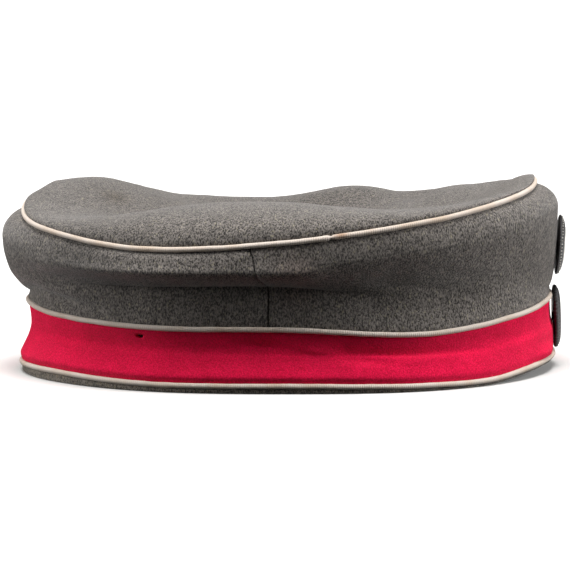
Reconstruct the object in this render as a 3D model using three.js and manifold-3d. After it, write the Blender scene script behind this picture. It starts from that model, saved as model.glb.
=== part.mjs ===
// Peakless wool field cap, lying on its rim: grey crown and base band, crimson band,
// off-white pipings in the seams and two stamped cockades at the front.
//
// Millimetres. +X is the front, +Z is up and -Y is the wearer's right side.
// The origin is on the resting surface, under the middle of the bounding box.
//
// Every cloth piece is worked out from profiles round the rim oval. A profile point is given as
// [out, z]: how far it lies outside the rim oval, and its height. Angles go round the cap in degrees
// from the front (0) over the wearer's right side (90) and the back (180) to the left side (270).

import * as THREE from 'three';
import { mergeVertices } from 'three/addons/utils/BufferGeometryUtils.js';
import Module from 'manifold-3d';

// ---------------------------------------------------------------------------------------------
// Driving dimensions
// ---------------------------------------------------------------------------------------------

const RIM = { halfLength: 101.6, halfWidth: 77.6, egg: 0.08 }; // egg: how much blunter the front is
const FRONT_LIFT = { height: 3.2, within: 0.7 }; // the rim arches off the surface where cos(angle) > within

const CLOTH = 1.8; // crown cloth
const BAND_CLOTH = 1.5;
const BASE_CLOTH = 1.4;
const HEM = 3.4; // width of the folded foot of the base band
const GAP = 0.3; // between neighbouring pieces

const BEAD = { radius: 1.0, proud: 0.1 }; // round part of a piping
const FLANGE = 0.9; // thickness of the flat part, which is sewn in between two edges
const EDGE_SPACE = FLANGE / 2 + GAP; // a cloth edge stops this far from a piping's middle
const BEAD_SPACE = BEAD.radius + 0.45; // and its surface this far
const BEAD_TUCK = 1.0; // the edge is drawn in this far behind the bead

const STEPS = 48; // sections round the cap
const CROWN_CENTRE_Z = 57.0;
const CREST_FADE = 13; // how far the puff of the crown's edge runs out towards the middle
const LUMP_MARGIN = 8; // lumps fade out over this distance before the crown seam
const EDGE_TURN = { width: 11, share: 0.55 }; // the top's edge stands up over this width, this much

// Side seams of the crown: angle at the foot and at the crown seam
const SEAMS = [
  { name: 'right', foot: 94.5, head: 98 },
  { name: 'left', foot: 265.5, head: 262 },
];
const SEAM_SPACE = 0.1; // degrees between a panel's end and its seam line, about half a gap

// One row for each section of the cap, at equal steps of angle.
//  rim: how far the rim wanders off the egg-shaped oval
//  lowZ, bandZ: height of the lower and the upper piping of the band
//  waist: out of the upper piping
//  tuck, tuckZ: the hollow of the crown wall above the band
//  crease: 0 where that hollow is soft, 1 where the wall is folded sharply under its roll
//  roll, rollZ: the fullest line of the crown wall
//  edge, edgeZ: the seam between wall and top
//  crest, crestIn: how high the top puffs up inside that seam, and how far in
const SECTIONS = [
  { at: 0, rim: 0, lowZ: 2.3, waist: -1.1, bandZ: 28, tuck: -1.3, tuckZ: 31, crease: 0.8,
    roll: 2.1, rollZ: 62, edge: -7, edgeZ: 71.6, crest: 1.5, crestIn: 12 },
  { at: 30, rim: 0, lowZ: 1.9, waist: -1.6, bandZ: 24.6, tuck: -2.2, tuckZ: 34.5, crease: 0.1,
    roll: 3, rollZ: 59, edge: -2, edgeZ: 69.3, crest: 1.5, crestIn: 14 },
  { at: 60, rim: 0, lowZ: 2.2, waist: -2.6, bandZ: 21, tuck: -4.8, tuckZ: 33.5, crease: 0,
    roll: 4.5, rollZ: 54, edge: 3, edgeZ: 63.2, crest: 5, crestIn: 24 },
  { at: 90, rim: -3, lowZ: 2.9, waist: -2.6, bandZ: 23.4, tuck: -4.5, tuckZ: 39, crease: 0.8,
    roll: 7, rollZ: 48, edge: 6, edgeZ: 56.6, crest: 12, crestIn: 27 },
  { at: 120, rim: 1, lowZ: 2.9, waist: -2.6, bandZ: 23.5, tuck: -4, tuckZ: 38.6, crease: 0.9,
    roll: 7, rollZ: 47.5, edge: 4, edgeZ: 53.5, crest: 12, crestIn: 27 },
  { at: 150, rim: 0.5, lowZ: 4.1, waist: -2.8, bandZ: 25.1, tuck: -2, tuckZ: 37, crease: 0.4,
    roll: 6, rollZ: 49, edge: 4, edgeZ: 58.4, crest: 3, crestIn: 24 },
  { at: 180, rim: 0, lowZ: 3.6, waist: -2.8, bandZ: 27.3, tuck: -3.4, tuckZ: 30.5, crease: 0.8,
    roll: 6.8, rollZ: 52, edge: -2.2, edgeZ: 63.4, crest: 3, crestIn: 16 },
  { at: 210, rim: 0, lowZ: 3.3, waist: -2.8, bandZ: 25.8, tuck: -2.5, tuckZ: 33, crease: 0.5,
    roll: 6, rollZ: 50, edge: 3, edgeZ: 61.2, crest: 4, crestIn: 20 },
  { at: 240, rim: 1, lowZ: 3.2, waist: -2.6, bandZ: 24.4, tuck: -2.5, tuckZ: 34, crease: 0.4,
    roll: 6, rollZ: 46, edge: 4, edgeZ: 56, crest: 4, crestIn: 24 },
  { at: 270, rim: -1, lowZ: 3.3, waist: -2.6, bandZ: 24, tuck: -2.8, tuckZ: 34, crease: 0.3,
    roll: 6, rollZ: 44, edge: 4, edgeZ: 53, crest: 4, crestIn: 22 },
  { at: 300, rim: 1, lowZ: 3, waist: -2.6, bandZ: 23.8, tuck: -2.5, tuckZ: 33, crease: 0.2,
    roll: 5, rollZ: 47, edge: 3, edgeZ: 58, crest: 3, crestIn: 20 },
  { at: 330, rim: 0, lowZ: 2.9, waist: -1.8, bandZ: 26, tuck: -2, tuckZ: 34, crease: 0,
    roll: 3, rollZ: 55, edge: -1, edgeZ: 65.6, crest: 1.5, crestIn: 16 },
];
const SECTION_ANGLE = 360 / SECTIONS.length;

// Local folds of the crown wall: where each is fullest, its reach along the wall (degrees) and up
// it (mm), how it climbs (mm for each degree), and how far it pushes the wall out.
const WALL_FOLDS = [
  { name: 'rear low roll', at: 154, reach: 17, z: 35.5, height: 3.6, climb: 0.12, out: 1.7 },
  { name: 'rear low crease', at: 148, reach: 17, z: 30.5, height: 2.6, climb: 0.12, out: -1.3 },
  { name: 'seam lobe', at: 89, reach: 7, z: 44.0, height: 3.4, climb: 0, out: 1.6 },
  { name: 'front side dent', at: 66, reach: 16, z: 42.0, height: 9.0, climb: 0, out: -1.2 },
];

// Local folds of the band, in the same columns.
const BAND_FOLDS = [
  { name: 'rear crease', at: 131, reach: 26, z: 16.5, height: 1.8, climb: 0, out: -0.7 },
  { name: 'front crease', at: 66, reach: 24, z: 13.5, height: 2.2, climb: 0.03, out: -0.7 },
  { name: 'swell behind the lower cockade', at: 0, reach: 22, z: 17, height: 6, climb: 0, out: 0.6 },
  { name: 'bulge beside the lower cockade', at: 16, reach: 6, z: 8, height: 2.6, climb: 0, out: 1.6 },
];

// Lumps and hollows of the crown top: middle, reach along X and Y, and rise.
const TOP_LUMPS = [
  { name: 'rear mound', x: -60, y: 18, reachX: 36, reachY: 24, rise: 9 },
  { name: 'middle hollow', x: 16, y: 2, reachX: 56, reachY: 34, rise: -11 },
  { name: 'front mound', x: 90, y: 0, reachX: 12, reachY: 26, rise: 2 },
  { name: 'left hump', x: 24, y: 64, reachX: 17, reachY: 12, rise: 3.4 },
  { name: 'left dip', x: 50, y: 58, reachX: 8, reachY: 14, rise: -3.4 },
  { name: 'left front hump', x: 72, y: 44, reachX: 14, reachY: 14, rise: 0.6 },
];

// Moth hole through the band and the cloth behind it
const MOTH_HOLE = { at: 124, z: 19.2, width: 2.9, height: 1.4, sides: 10, depth: 12 };

// Cockades: height of the middle, distance of the back plane from the rim oval at the front, lean of
// the face downwards, and the profile of the metal as [radius, height above the back plane]
const COCKADE = { plate: 0.8, sides: 20, shank: 1.5, ringOuter: 7.4, ringInner: 4.6, bossRadius: 4.2 };
const COCKADES = [
  { name: 'cockade_upper', radius: 11.5, z: 46.4, out: 1.87, lean: 4.5, shankLength: 0.25,
    rim: 0.9, shoulder: 2.1, ring: 2.8, boss: 3.2, bossColour: 0x8c1f2b },
  { name: 'cockade_lower', radius: 12, z: 18.9, out: 0.4, lean: -1, shankLength: 0.5,
    rim: 1.5, shoulder: 2.3, ring: 2.4, boss: 2.5, bossColour: 0x17171a },
];

const COLOURS = {
  greyWool: 0x7d766f,
  crimsonWool: 0xd61f4b,
  pipingWool: 0xe4d4c8,
  blackLacquer: 0x1c1a1e,
  silver: 0xb9b9b4,
};

// ---------------------------------------------------------------------------------------------
// Profiles
// ---------------------------------------------------------------------------------------------

const smooth = (v) => v * v * (3 - 2 * v);
const clamp01 = (v) => Math.min(1, Math.max(0, v));
const mix = (a, b, v) => a + (b - a) * v;
const radians = (at) => (at * Math.PI) / 180;
const bell = (distance, reach) => Math.exp(-((distance / reach) ** 2));

// A column of SECTIONS at any angle, as a smooth curve through the rows.
function around(column, at) {
  const place = ((at % 360) + 360) % 360 / SECTION_ANGLE;
  const first = Math.floor(place);
  const row = (k) => SECTIONS[(first + k + SECTIONS.length) % SECTIONS.length][column];
  const v = place - first;
  const slope0 = (row(1) - row(-1)) / 2;
  const slope1 = (row(2) - row(0)) / 2;
  return (
    (2 * v ** 3 - 3 * v ** 2 + 1) * row(0) + (v ** 3 - 2 * v ** 2 + v) * slope0
    + (3 * v ** 2 - 2 * v ** 3) * row(1) + (v ** 3 - v ** 2) * slope1
  );
}

function sectionAt(at) {
  const section = {};
  for (const column of Object.keys(SECTIONS[0])) section[column] = around(column, at);
  section.at = at;
  return section;
}

function frontLift(at) {
  const share = (Math.cos(radians(at)) - FRONT_LIFT.within) / (1 - FRONT_LIFT.within);
  return FRONT_LIFT.height * smooth(clamp01(share));
}

// The point of the cap at an angle, a distance outside the rim oval and a height.
function capPoint(at, out, z) {
  const t = radians(at);
  const x = RIM.halfLength * Math.cos(t);
  const y = RIM.halfWidth * Math.sin(t) * (1 + RIM.egg * Math.cos(t));
  const alongX = -RIM.halfLength * Math.sin(t);
  const alongY = RIM.halfWidth * (Math.cos(t) + RIM.egg * Math.cos(2 * t));
  const length = Math.hypot(alongX, alongY);
  const reach = out + around('rim', at);
  return new THREE.Vector3(x + (reach * alongY) / length, -(y - (reach * alongX) / length), z);
}

function foldsAt(folds, at, z) {
  let out = 0;
  for (const fold of folds) {
    const turn = (at - fold.at + 540) % 360 - 180;
    out += fold.out * bell(turn, fold.reach) * bell(z - fold.z - turn * fold.climb, fold.height);
  }
  return out;
}

// Outer side of the crown wall from its foot to the crown seam: up to the tuck, out round the
// underside of the roll, and over the roll to the seam.
function wallProfile(at) {
  const s = sectionAt(at);
  const crease = clamp01(s.crease);
  const points = [[s.waist - BEAD_TUCK, s.bandZ + EDGE_SPACE]];
  const footZ = s.bandZ + BEAD_SPACE;
  const lowSteps = 2;
  for (let k = 0; k <= lowSteps; k += 1) {
    const v = k / lowSteps;
    points.push([mix(s.waist, s.tuck, smooth(v)), mix(footZ, s.tuckZ, v)]);
  }
  const underSteps = 3;
  for (let k = 1; k <= underSteps; k += 1) {
    const v = k / underSteps;
    const turn = (v * Math.PI) / 2;
    const reach = mix(smooth(v), Math.sin(turn), crease);
    const climb = mix(v, 1 - Math.cos(turn), crease);
    points.push([mix(s.tuck, s.roll, reach), mix(s.tuckZ, s.rollZ, climb)]);
  }
  const headZ = s.edgeZ - BEAD_SPACE;
  const overSteps = 3;
  const overTurn = radians(75);
  for (let k = 1; k <= overSteps; k += 1) {
    const turn = (k / overSteps) * overTurn;
    const reach = (Math.cos(turn) - Math.cos(overTurn)) / (1 - Math.cos(overTurn));
    points.push([mix(s.edge, s.roll, reach), mix(s.rollZ, headZ, Math.sin(turn) / Math.sin(overTurn))]);
  }
  for (const point of points) point[0] += foldsAt(WALL_FOLDS, at, point[1]);
  points.push([s.edge - BEAD_TUCK, s.edgeZ - EDGE_SPACE]);
  return points;
}

// Outer side of the crimson band from its lower to its upper edge.
function bandProfile(at) {
  const s = sectionAt(at);
  const lowZ = s.lowZ + frontLift(at);
  const slack = 1 - 0.9 * Math.max(0, Math.cos(radians(at))) ** 2; // it is flatter behind the cockade
  const points = [
    [0, lowZ + BEAD_SPACE],
    [0.5 * slack, lowZ + 3.4],
    [-0.9 * slack, lowZ + 6.4],
    [-2.6 * slack, lowZ + 10],
    [s.waist - 0.9 * slack, mix(lowZ, s.bandZ, 0.62)],
    [s.waist - 0.2 * slack, s.bandZ - BEAD_SPACE],
  ];
  for (const point of points) point[0] += foldsAt(BAND_FOLDS, at, point[1]);
  return [
    [-BEAD_TUCK, lowZ + EDGE_SPACE],
    ...points,
    [s.waist - BEAD_TUCK, s.bandZ - EDGE_SPACE],
  ];
}

// The other side of a cloth, moved inward square to the profile. The two edges stay level.
function innerSide(profile, thickness) {
  const last = profile.length - 1;
  return profile.map(([out, z], k) => {
    if (k === 0 || k === last) return [out - thickness, z];
    const before = profile[k - 1];
    const after = profile[k + 1];
    const turnOut = after[0] - before[0];
    const turnZ = after[1] - before[1];
    const length = Math.hypot(turnOut, turnZ);
    return [out - (turnZ / length) * thickness, z + (turnOut / length) * thickness];
  });
}

// ---------------------------------------------------------------------------------------------
// Meshes
// ---------------------------------------------------------------------------------------------

// Indexed geometry with all its faces pointing out.
function outwardGeometry(points, faces) {
  let volume = 0;
  for (const [a, b, c] of faces) {
    volume += points[a].dot(new THREE.Vector3().crossVectors(points[b], points[c]));
  }
  const index = faces.flatMap(([a, b, c]) => (volume > 0 ? [a, b, c] : [a, c, b]));
  const geometry = new THREE.BufferGeometry();
  geometry.setAttribute('position', new THREE.Float32BufferAttribute(points.flatMap((p) => p.toArray()), 3));
  geometry.setIndex(index);
  geometry.computeVertexNormals();
  return geometry;
}

function addQuad(faces, a, b, c, d) {
  faces.push([a, b, c], [a, c, d]);
}

// A body swept round the cap. Every section is one closed loop of points; an open strip gets flat
// ends, made from the quads between the loop's first half and its second half.
function sweptGeometry(loops, closed) {
  const size = loops[0].length;
  const faces = [];
  const spans = closed ? loops.length : loops.length - 1;
  for (let i = 0; i < spans; i += 1) {
    const here = i * size;
    const next = ((i + 1) % loops.length) * size;
    for (let k = 0; k < size; k += 1) {
      const up = (k + 1) % size;
      addQuad(faces, here + k, here + up, next + up, next + k);
    }
  }
  if (!closed) {
    const end = (loops.length - 1) * size;
    for (let k = 0; k < size / 2 - 1; k += 1) {
      const back = size - 1 - k;
      addQuad(faces, k, back, back - 1, k + 1);
      addQuad(faces, end + k, end + k + 1, end + back - 1, end + back);
    }
  }
  return outwardGeometry(loops.flat(), faces);
}

function loopAt(at, outer, inner) {
  return [...outer, ...inner.toReversed()].map(([out, z]) => capPoint(at, out, z));
}

function roundTheCap(loopOf) {
  return Array.from({ length: STEPS }, (_, i) => loopOf((i * 360) / STEPS));
}

function bandGeometry() {
  return sweptGeometry(roundTheCap((at) => {
    const outer = bandProfile(at);
    return loopAt(at, outer, innerSide(outer, BAND_CLOTH));
  }), true);
}

// The grey base band: its folded foot is the rim, and above it lies behind the crimson band.
function baseBandGeometry() {
  return sweptGeometry(roundTheCap((at) => {
    const lowZ = around('lowZ', at) + frontLift(at);
    const behindBand = innerSide(bandProfile(at), BAND_CLOTH + GAP);
    const lean = behindBand[0][0] - BEAD_TUCK;
    const outer = [
      [0, frontLift(at)],
      [0, lowZ - BEAD_SPACE],
      [-BEAD_TUCK, lowZ - EDGE_SPACE],
      [lean, lowZ - EDGE_SPACE],
      [lean, lowZ + EDGE_SPACE],
      ...behindBand.slice(3),
    ];
    const inner = [
      [-HEM, frontLift(at)],
      [-HEM, lowZ - BEAD_SPACE],
      [lean - BASE_CLOTH, lowZ - EDGE_SPACE],
      [lean - BASE_CLOTH, lowZ],
      [lean - BASE_CLOTH, lowZ + EDGE_SPACE],
      ...innerSide(behindBand, BASE_CLOTH).slice(3),
    ];
    return loopAt(at, outer, inner);
  }), true);
}

// A piping: a round bead outside the seam, and a flat flange that runs in between the two edges.
function pipingGeometry(placeAt) {
  return sweptGeometry(roundTheCap((at) => {
    const { out, z, flange } = placeAt(at);
    const beadTurns = [-130, -78, -26, 26, 78, 130];
    const bead = beadTurns.map((turn) => [
      out + BEAD.proud + BEAD.radius * Math.cos(radians(turn)),
      z + BEAD.radius * Math.sin(radians(turn)),
    ]);
    const neck = out + BEAD.proud - BEAD.radius * Math.cos(radians(25));
    const half = FLANGE / 2;
    const strip = [[neck, z + half], [out - flange, z + half], [out - flange, z - half], [neck, z - half]];
    return [...bead, ...strip].map(([reach, height]) => capPoint(at, reach, height));
  }), true);
}

// Angles of a wall panel's sections, as [at the foot, at the head]: the same as those of its
// neighbours, between two slanting side seams.
function panelAngles(from, to) {
  const turn = to.foot > from.foot ? 0 : 360;
  const step = 360 / STEPS;
  const start = [from.foot + SEAM_SPACE, from.head + SEAM_SPACE];
  const end = [to.foot + turn - SEAM_SPACE, to.head + turn - SEAM_SPACE];
  const angles = [start];
  for (let at = 0; at < end[0] && at < end[1]; at += step) {
    const clear = Math.min(at - start[0], at - start[1], end[0] - at, end[1] - at);
    if (clear > step / 4) angles.push([at, at]);
  }
  return [...angles, end];
}

function wallGeometry(from, to) {
  const loops = panelAngles(from, to).map(([footAt, headAt]) => {
    const size = wallProfile(footAt).length;
    const outer = [];
    const inner = [];
    for (let k = 0; k < size; k += 1) {
      const at = mix(footAt, headAt, k / (size - 1));
      const profile = wallProfile(at);
      outer.push(capPoint(at, ...profile[k]));
      inner.push(capPoint(at, ...innerSide(profile, CLOTH)[k]));
    }
    return [...outer, ...inner.toReversed()];
  });
  return sweptGeometry(loops, false);
}

// Height of the crown top's outer side, for a point a distance in from the seam at an angle.
function crownHeight(s, x, y, inward, share) {
  const before = Math.min(1, inward / s.crestIn);
  const after = Math.max(0, inward - s.crestIn);
  const puff = s.crest * Math.sqrt(1 - (1 - before) ** 2) * bell(after, CREST_FADE);
  let lumps = 0;
  for (const lump of TOP_LUMPS) {
    lumps += lump.rise * bell(x - lump.x, lump.reachX) * bell(y - lump.y, lump.reachY);
  }
  const base = mix(CROWN_CENTRE_Z, s.edgeZ + BEAD_SPACE, share ** 2);
  return base + puff + lumps * clamp01(inward / LUMP_MARGIN);
}

// The crown top: loops from the seam to the middle on the outer side, and back on the inner side.
function crownTopGeometry() {
  const shares = [1, 0.965, 0.9, 0.81, 0.7, 0.57, 0.42, 0.22];
  const points = [];
  const outerLoops = [];
  const innerLoops = [];
  for (const share of shares) {
    const outer = [];
    const inner = [];
    for (let i = 0; i < STEPS; i += 1) {
      const at = (i * 360) / STEPS;
      const s = sectionAt(at);
      const rim = capPoint(at, s.edge, 0);
      const span = rim.length();
      const inward = span * (1 - share);
      const x = rim.x * share;
      const y = rim.y * share;
      const z = crownHeight(s, x, y, inward, share);
      // near the seam the cloth stands up, so its inner side lies inward; further in it lies below
      const upright = clamp01(1 - inward / EDGE_TURN.width);
      const pull = 1 - (CLOTH * upright) / span / share;
      outer.push(new THREE.Vector3(x, y, z));
      inner.push(new THREE.Vector3(x * pull, y * pull, z - CLOTH * (1 - EDGE_TURN.share * upright)));
    }
    outerLoops.push(outer);
    innerLoops.push(inner);
  }
  const edgeOuter = [];
  const edgeInner = [];
  for (let i = 0; i < STEPS; i += 1) {
    const at = (i * 360) / STEPS;
    const s = sectionAt(at);
    edgeOuter.push(capPoint(at, s.edge - BEAD_TUCK, s.edgeZ + EDGE_SPACE));
    edgeInner.push(capPoint(at, s.edge - BEAD_TUCK - CLOTH, s.edgeZ + EDGE_SPACE));
  }
  const loops = [...outerLoops.toReversed(), edgeOuter, edgeInner, ...innerLoops];
  const middle = sectionAt(0);
  const span = capPoint(0, middle.edge, 0).length();
  const middleZ = crownHeight(middle, 0, 0, span, 0);
  points.push(...loops.flat(), new THREE.Vector3(0, 0, middleZ), new THREE.Vector3(0, 0, middleZ - CLOTH));
  const [outerMiddle, innerMiddle] = [points.length - 2, points.length - 1];
  const faces = [];
  const lastLoop = (loops.length - 1) * STEPS;
  for (let i = 0; i < STEPS; i += 1) {
    const next = (i + 1) % STEPS;
    faces.push([outerMiddle, next, i], [innerMiddle, lastLoop + i, lastLoop + next]);
    for (let k = 0; k < loops.length - 1; k += 1) {
      const here = k * STEPS;
      addQuad(faces, here + i, here + next, here + STEPS + next, here + STEPS + i);
    }
  }
  return outwardGeometry(points, faces);
}

// ---------------------------------------------------------------------------------------------
// Cutting
// ---------------------------------------------------------------------------------------------

const wasm = await Module();
wasm.setup();

function toSolid(geometry) {
  const bare = geometry.clone();
  bare.deleteAttribute('normal');
  bare.deleteAttribute('uv');
  const merged = mergeVertices(bare, 1e-4);
  return new wasm.Manifold(new wasm.Mesh({
    numProp: 3,
    vertProperties: new Float32Array(merged.attributes.position.array),
    triVerts: new Uint32Array(merged.index.array),
  }));
}

function toGeometry(solid) {
  const mesh = solid.getMesh();
  const geometry = new THREE.BufferGeometry();
  geometry.setAttribute('position', new THREE.BufferAttribute(new Float32Array(mesh.vertProperties), 3));
  geometry.setIndex(new THREE.BufferAttribute(new Uint32Array(mesh.triVerts), 1));
  geometry.computeVertexNormals();
  return geometry;
}

// A short rod across the cloth, with the outline of the moth hole.
function mothHoleRod() {
  const rod = new THREE.CylinderGeometry(0.5, 0.5, MOTH_HOLE.depth, MOTH_HOLE.sides);
  rod.scale(MOTH_HOLE.width, 1, MOTH_HOLE.height);
  const middle = capPoint(MOTH_HOLE.at, around('waist', MOTH_HOLE.at), MOTH_HOLE.z);
  const outside = capPoint(MOTH_HOLE.at, 10, MOTH_HOLE.z);
  const axis = outside.sub(middle).normalize();
  const up = new THREE.Vector3(0, 0, 1);
  const side = new THREE.Vector3().crossVectors(axis, up);
  rod.applyMatrix4(new THREE.Matrix4().makeBasis(side, axis, up).setPosition(middle));
  return toSolid(rod);
}

function withMothHole(geometry) {
  return toGeometry(toSolid(geometry).subtract(mothHoleRod()));
}

// ---------------------------------------------------------------------------------------------
// Assembly
// ---------------------------------------------------------------------------------------------

const cloth = (color) => new THREE.MeshStandardMaterial({ color, roughness: 0.95, metalness: 0 });
const metal = (color) => new THREE.MeshStandardMaterial({ color, roughness: 0.4, metalness: 0.6 });

const cap = new THREE.Group();

function addPiece(parent, name, geometry, material) {
  const mesh = new THREE.Mesh(geometry, material);
  mesh.name = name;
  parent.add(mesh);
}

// A cockade faces +X. Its plate carries a raised ring and a boss, and a shank reaches the cloth.
function addCockade(c) {
  const group = new THREE.Group();
  const { plate, sides, shank, ringOuter, ringInner, bossRadius } = COCKADE;
  const lathe = (profile) => {
    const points = profile.map(([reach, height]) => new THREE.Vector2(reach, height));
    return new THREE.LatheGeometry(points, sides).rotateZ(-Math.PI / 2);
  };
  const seat = plate + GAP;
  const dish = [
    [0, -c.shankLength], [shank, -c.shankLength], [shank, 0],
    [c.radius - 0.6, 0], [c.radius, c.rim / 2], [c.radius - 0.3, c.rim],
    [c.radius - 2, c.shoulder], [ringOuter + GAP, c.shoulder + 0.3],
    [ringOuter + GAP, plate], [0, plate],
  ];
  const ring = [
    [ringInner, seat], [ringOuter, seat], [ringOuter, c.ring - 0.3], [ringOuter - 0.5, c.ring],
    [ringInner + 0.4, c.ring], [ringInner, c.ring - 0.3], [ringInner, seat],
  ];
  const boss = [
    [0, seat], [bossRadius, seat], [bossRadius, c.ring - 0.4],
    [bossRadius * 0.7, c.boss - 0.3], [0, c.boss],
  ];
  addPiece(group, `${c.name}_dish`, lathe(dish), metal(COLOURS.blackLacquer));
  addPiece(group, `${c.name}_ring`, lathe(ring), metal(COLOURS.silver));
  addPiece(group, `${c.name}_boss`, lathe(boss), metal(c.bossColour));
  group.position.copy(capPoint(0, c.out, c.z));
  group.rotation.y = radians(c.lean);
  cap.add(group);
}

addPiece(cap, 'base_band', withMothHole(baseBandGeometry()), cloth(COLOURS.greyWool));
addPiece(cap, 'band', withMothHole(bandGeometry()), cloth(COLOURS.crimsonWool));
addPiece(cap, 'band_piping_lower', pipingGeometry((at) => (
  { out: 0, z: around('lowZ', at) + frontLift(at), flange: 1.6 }
)), cloth(COLOURS.pipingWool));
addPiece(cap, 'band_piping_upper', pipingGeometry((at) => (
  { out: around('waist', at), z: around('bandZ', at), flange: 3.6 }
)), cloth(COLOURS.pipingWool));
addPiece(cap, 'crown_panel_rear', wallGeometry(...SEAMS), cloth(COLOURS.greyWool));
addPiece(cap, 'crown_panel_front', wallGeometry(...SEAMS.toReversed()), cloth(COLOURS.greyWool));
addPiece(cap, 'crown_piping', pipingGeometry((at) => (
  { out: around('edge', at), z: around('edgeZ', at), flange: 2.4 }
)), cloth(COLOURS.pipingWool));
addPiece(cap, 'crown_top', crownTopGeometry(), cloth(COLOURS.greyWool));
COCKADES.forEach(addCockade);

const middle = new THREE.Box3().setFromObject(cap).getCenter(new THREE.Vector3());
cap.position.set(-middle.x, -middle.y, 0);

export default cap;
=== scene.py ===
"""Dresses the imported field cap: fulled wool cloth, corded pipings and pressed tin cockades.

The cap lies on its rim on a pale floor, seen from the wearer's right side.

Lengths in the tables are in millimetres, and CapForm.point turns them into metres in the part's own
frame: +X is the front, -Y the wearer's right side and +Z up. Angles go round the cap in degrees from
the front (0) over the wearer's right side (90) and the back (180) to the left side (270). "Out" is
how far a point lies outside the rim oval.
"""

import logging
import math
from dataclasses import dataclass
from enum import Enum

import bpy
import numpy as np
from bpy.types import Material, Node, NodeOutputs as Sockets, NodeSocket, NodeTree, Object
from mathutils import Matrix, Vector, noise


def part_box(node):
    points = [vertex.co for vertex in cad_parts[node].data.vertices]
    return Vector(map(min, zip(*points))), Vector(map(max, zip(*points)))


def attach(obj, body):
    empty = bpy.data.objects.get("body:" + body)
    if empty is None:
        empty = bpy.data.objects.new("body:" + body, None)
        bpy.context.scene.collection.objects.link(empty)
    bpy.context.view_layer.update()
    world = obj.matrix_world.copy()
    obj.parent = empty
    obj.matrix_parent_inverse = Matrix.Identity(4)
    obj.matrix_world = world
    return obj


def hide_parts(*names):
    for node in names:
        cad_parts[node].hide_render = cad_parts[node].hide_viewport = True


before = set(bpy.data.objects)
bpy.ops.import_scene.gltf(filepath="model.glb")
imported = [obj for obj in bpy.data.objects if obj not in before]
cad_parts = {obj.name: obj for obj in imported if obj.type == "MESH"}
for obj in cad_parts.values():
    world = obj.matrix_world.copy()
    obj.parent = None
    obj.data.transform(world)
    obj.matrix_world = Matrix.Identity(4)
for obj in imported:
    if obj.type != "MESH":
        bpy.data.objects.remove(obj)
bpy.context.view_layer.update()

LOG = logging.getLogger("field_cap")
BODY = "root"
MM = 0.001  # metres in a millimetre
Grid = np.ndarray  # values for each angle round the cap, and often for each row of a cloth


# --- Shape of the cap ---------------------------------------------------------------------------


@dataclass(frozen=True)
class Section:
    """The cap's cross-section at one angle, in millimetres."""

    rim: float  # how far the rim wanders off the egg-shaped oval
    low_z: float  # height of the lower piping of the band
    waist: float  # out of the upper piping
    band_z: float  # height of the upper piping
    tuck: float  # out of the wall's hollow above the band
    tuck_z: float
    crease: float  # 0 where that hollow is soft, 1 where the wall is folded sharply under its roll
    roll: float  # out of the fullest line of the wall
    roll_z: float
    edge: float  # out of the crown seam
    edge_z: float
    crest: float  # how high the top puffs up inside that seam
    crest_in: float  # and how far in


@dataclass(frozen=True)
class Fold:
    """A long soft fold of a wall or band, fullest at one angle and height."""

    at: float  # degrees
    reach: float  # degrees along the wall
    z: float
    height: float
    climb: float  # millimetres for each degree
    out: float


@dataclass(frozen=True)
class Lump:
    """A rounded hump or hollow of the crown's top."""

    x: float
    y: float
    reach_x: float
    reach_y: float
    rise: float


SECTIONS = tuple(Section(*row) for row in (  # at equal steps of angle, from the front
    # rim  low_z  waist  band_z  tuck  tuck_z  crease  roll  roll_z  edge  edge_z  crest  crest_in
    (   0,   2.3,  -1.1,     28, -1.3,     31,    0.8,  2.1,     62,   -7,   71.6,   1.5,       12),
    (   0,   1.9,  -1.6,   24.6, -2.2,   34.5,    0.1,    3,     59,   -2,   69.3,   1.5,       14),
    (   0,   2.2,  -2.6,     21, -4.8,   33.5,      0,  4.5,     54,    3,   63.2,     5,       24),
    (  -3,   2.9,  -2.6,   23.4, -4.5,     39,    0.8,    7,     48,    6,   56.6,    12,       27),
    (   1,   2.9,  -2.6,   23.5,   -4,   38.6,    0.9,    7,   47.5,    4,   53.5,    12,       27),
    ( 0.5,   4.1,  -2.8,   25.1,   -2,     37,    0.4,    6,     49,    4,   58.4,     3,       24),
    (   0,   3.6,  -2.8,   27.3, -3.4,   30.5,    0.8,  6.8,     52, -2.2,   63.4,     3,       16),
    (   0,   3.3,  -2.8,   25.8, -2.5,     33,    0.5,    6,     50,    3,   61.2,     4,       20),
    (   1,   3.2,  -2.6,   24.4, -2.5,     34,    0.4,    6,     46,    4,     56,     4,       24),
    (  -1,   3.3,  -2.6,     24, -2.8,     34,    0.3,    6,     44,    4,     53,     4,       22),
    (   1,     3,  -2.6,   23.8, -2.5,     33,    0.2,    5,     47,    3,     58,     3,       20),
    (   0,   2.9,  -1.8,     26,   -2,     34,      0,    3,     55,   -1,   65.6,   1.5,       16),
))

WALL_FOLDS = (  # at, reach, z, height, climb, out
    Fold(154, 17, 35.5, 3.6, 0.12, 1.7),  # rear low roll
    Fold(148, 17, 30.5, 2.6, 0.12, -1.3),  # crease under it
    Fold(89, 7, 44.0, 3.4, 0, 1.6),  # lobe beside the seam
    Fold(66, 16, 42.0, 9.0, 0, -1.2),  # front side dent
)

BAND_FOLDS = (  # at, reach, z, height, climb, out
    Fold(131, 26, 16.5, 1.8, 0, -0.7),  # rear crease
    Fold(66, 24, 13.5, 2.2, 0.03, -0.7),  # front crease
    Fold(0, 22, 17, 6, 0, 0.6),  # swell behind the lower cockade
    Fold(16, 6, 8, 2.6, 0, 1.6),  # bulge beside the lower cockade
)

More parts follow.
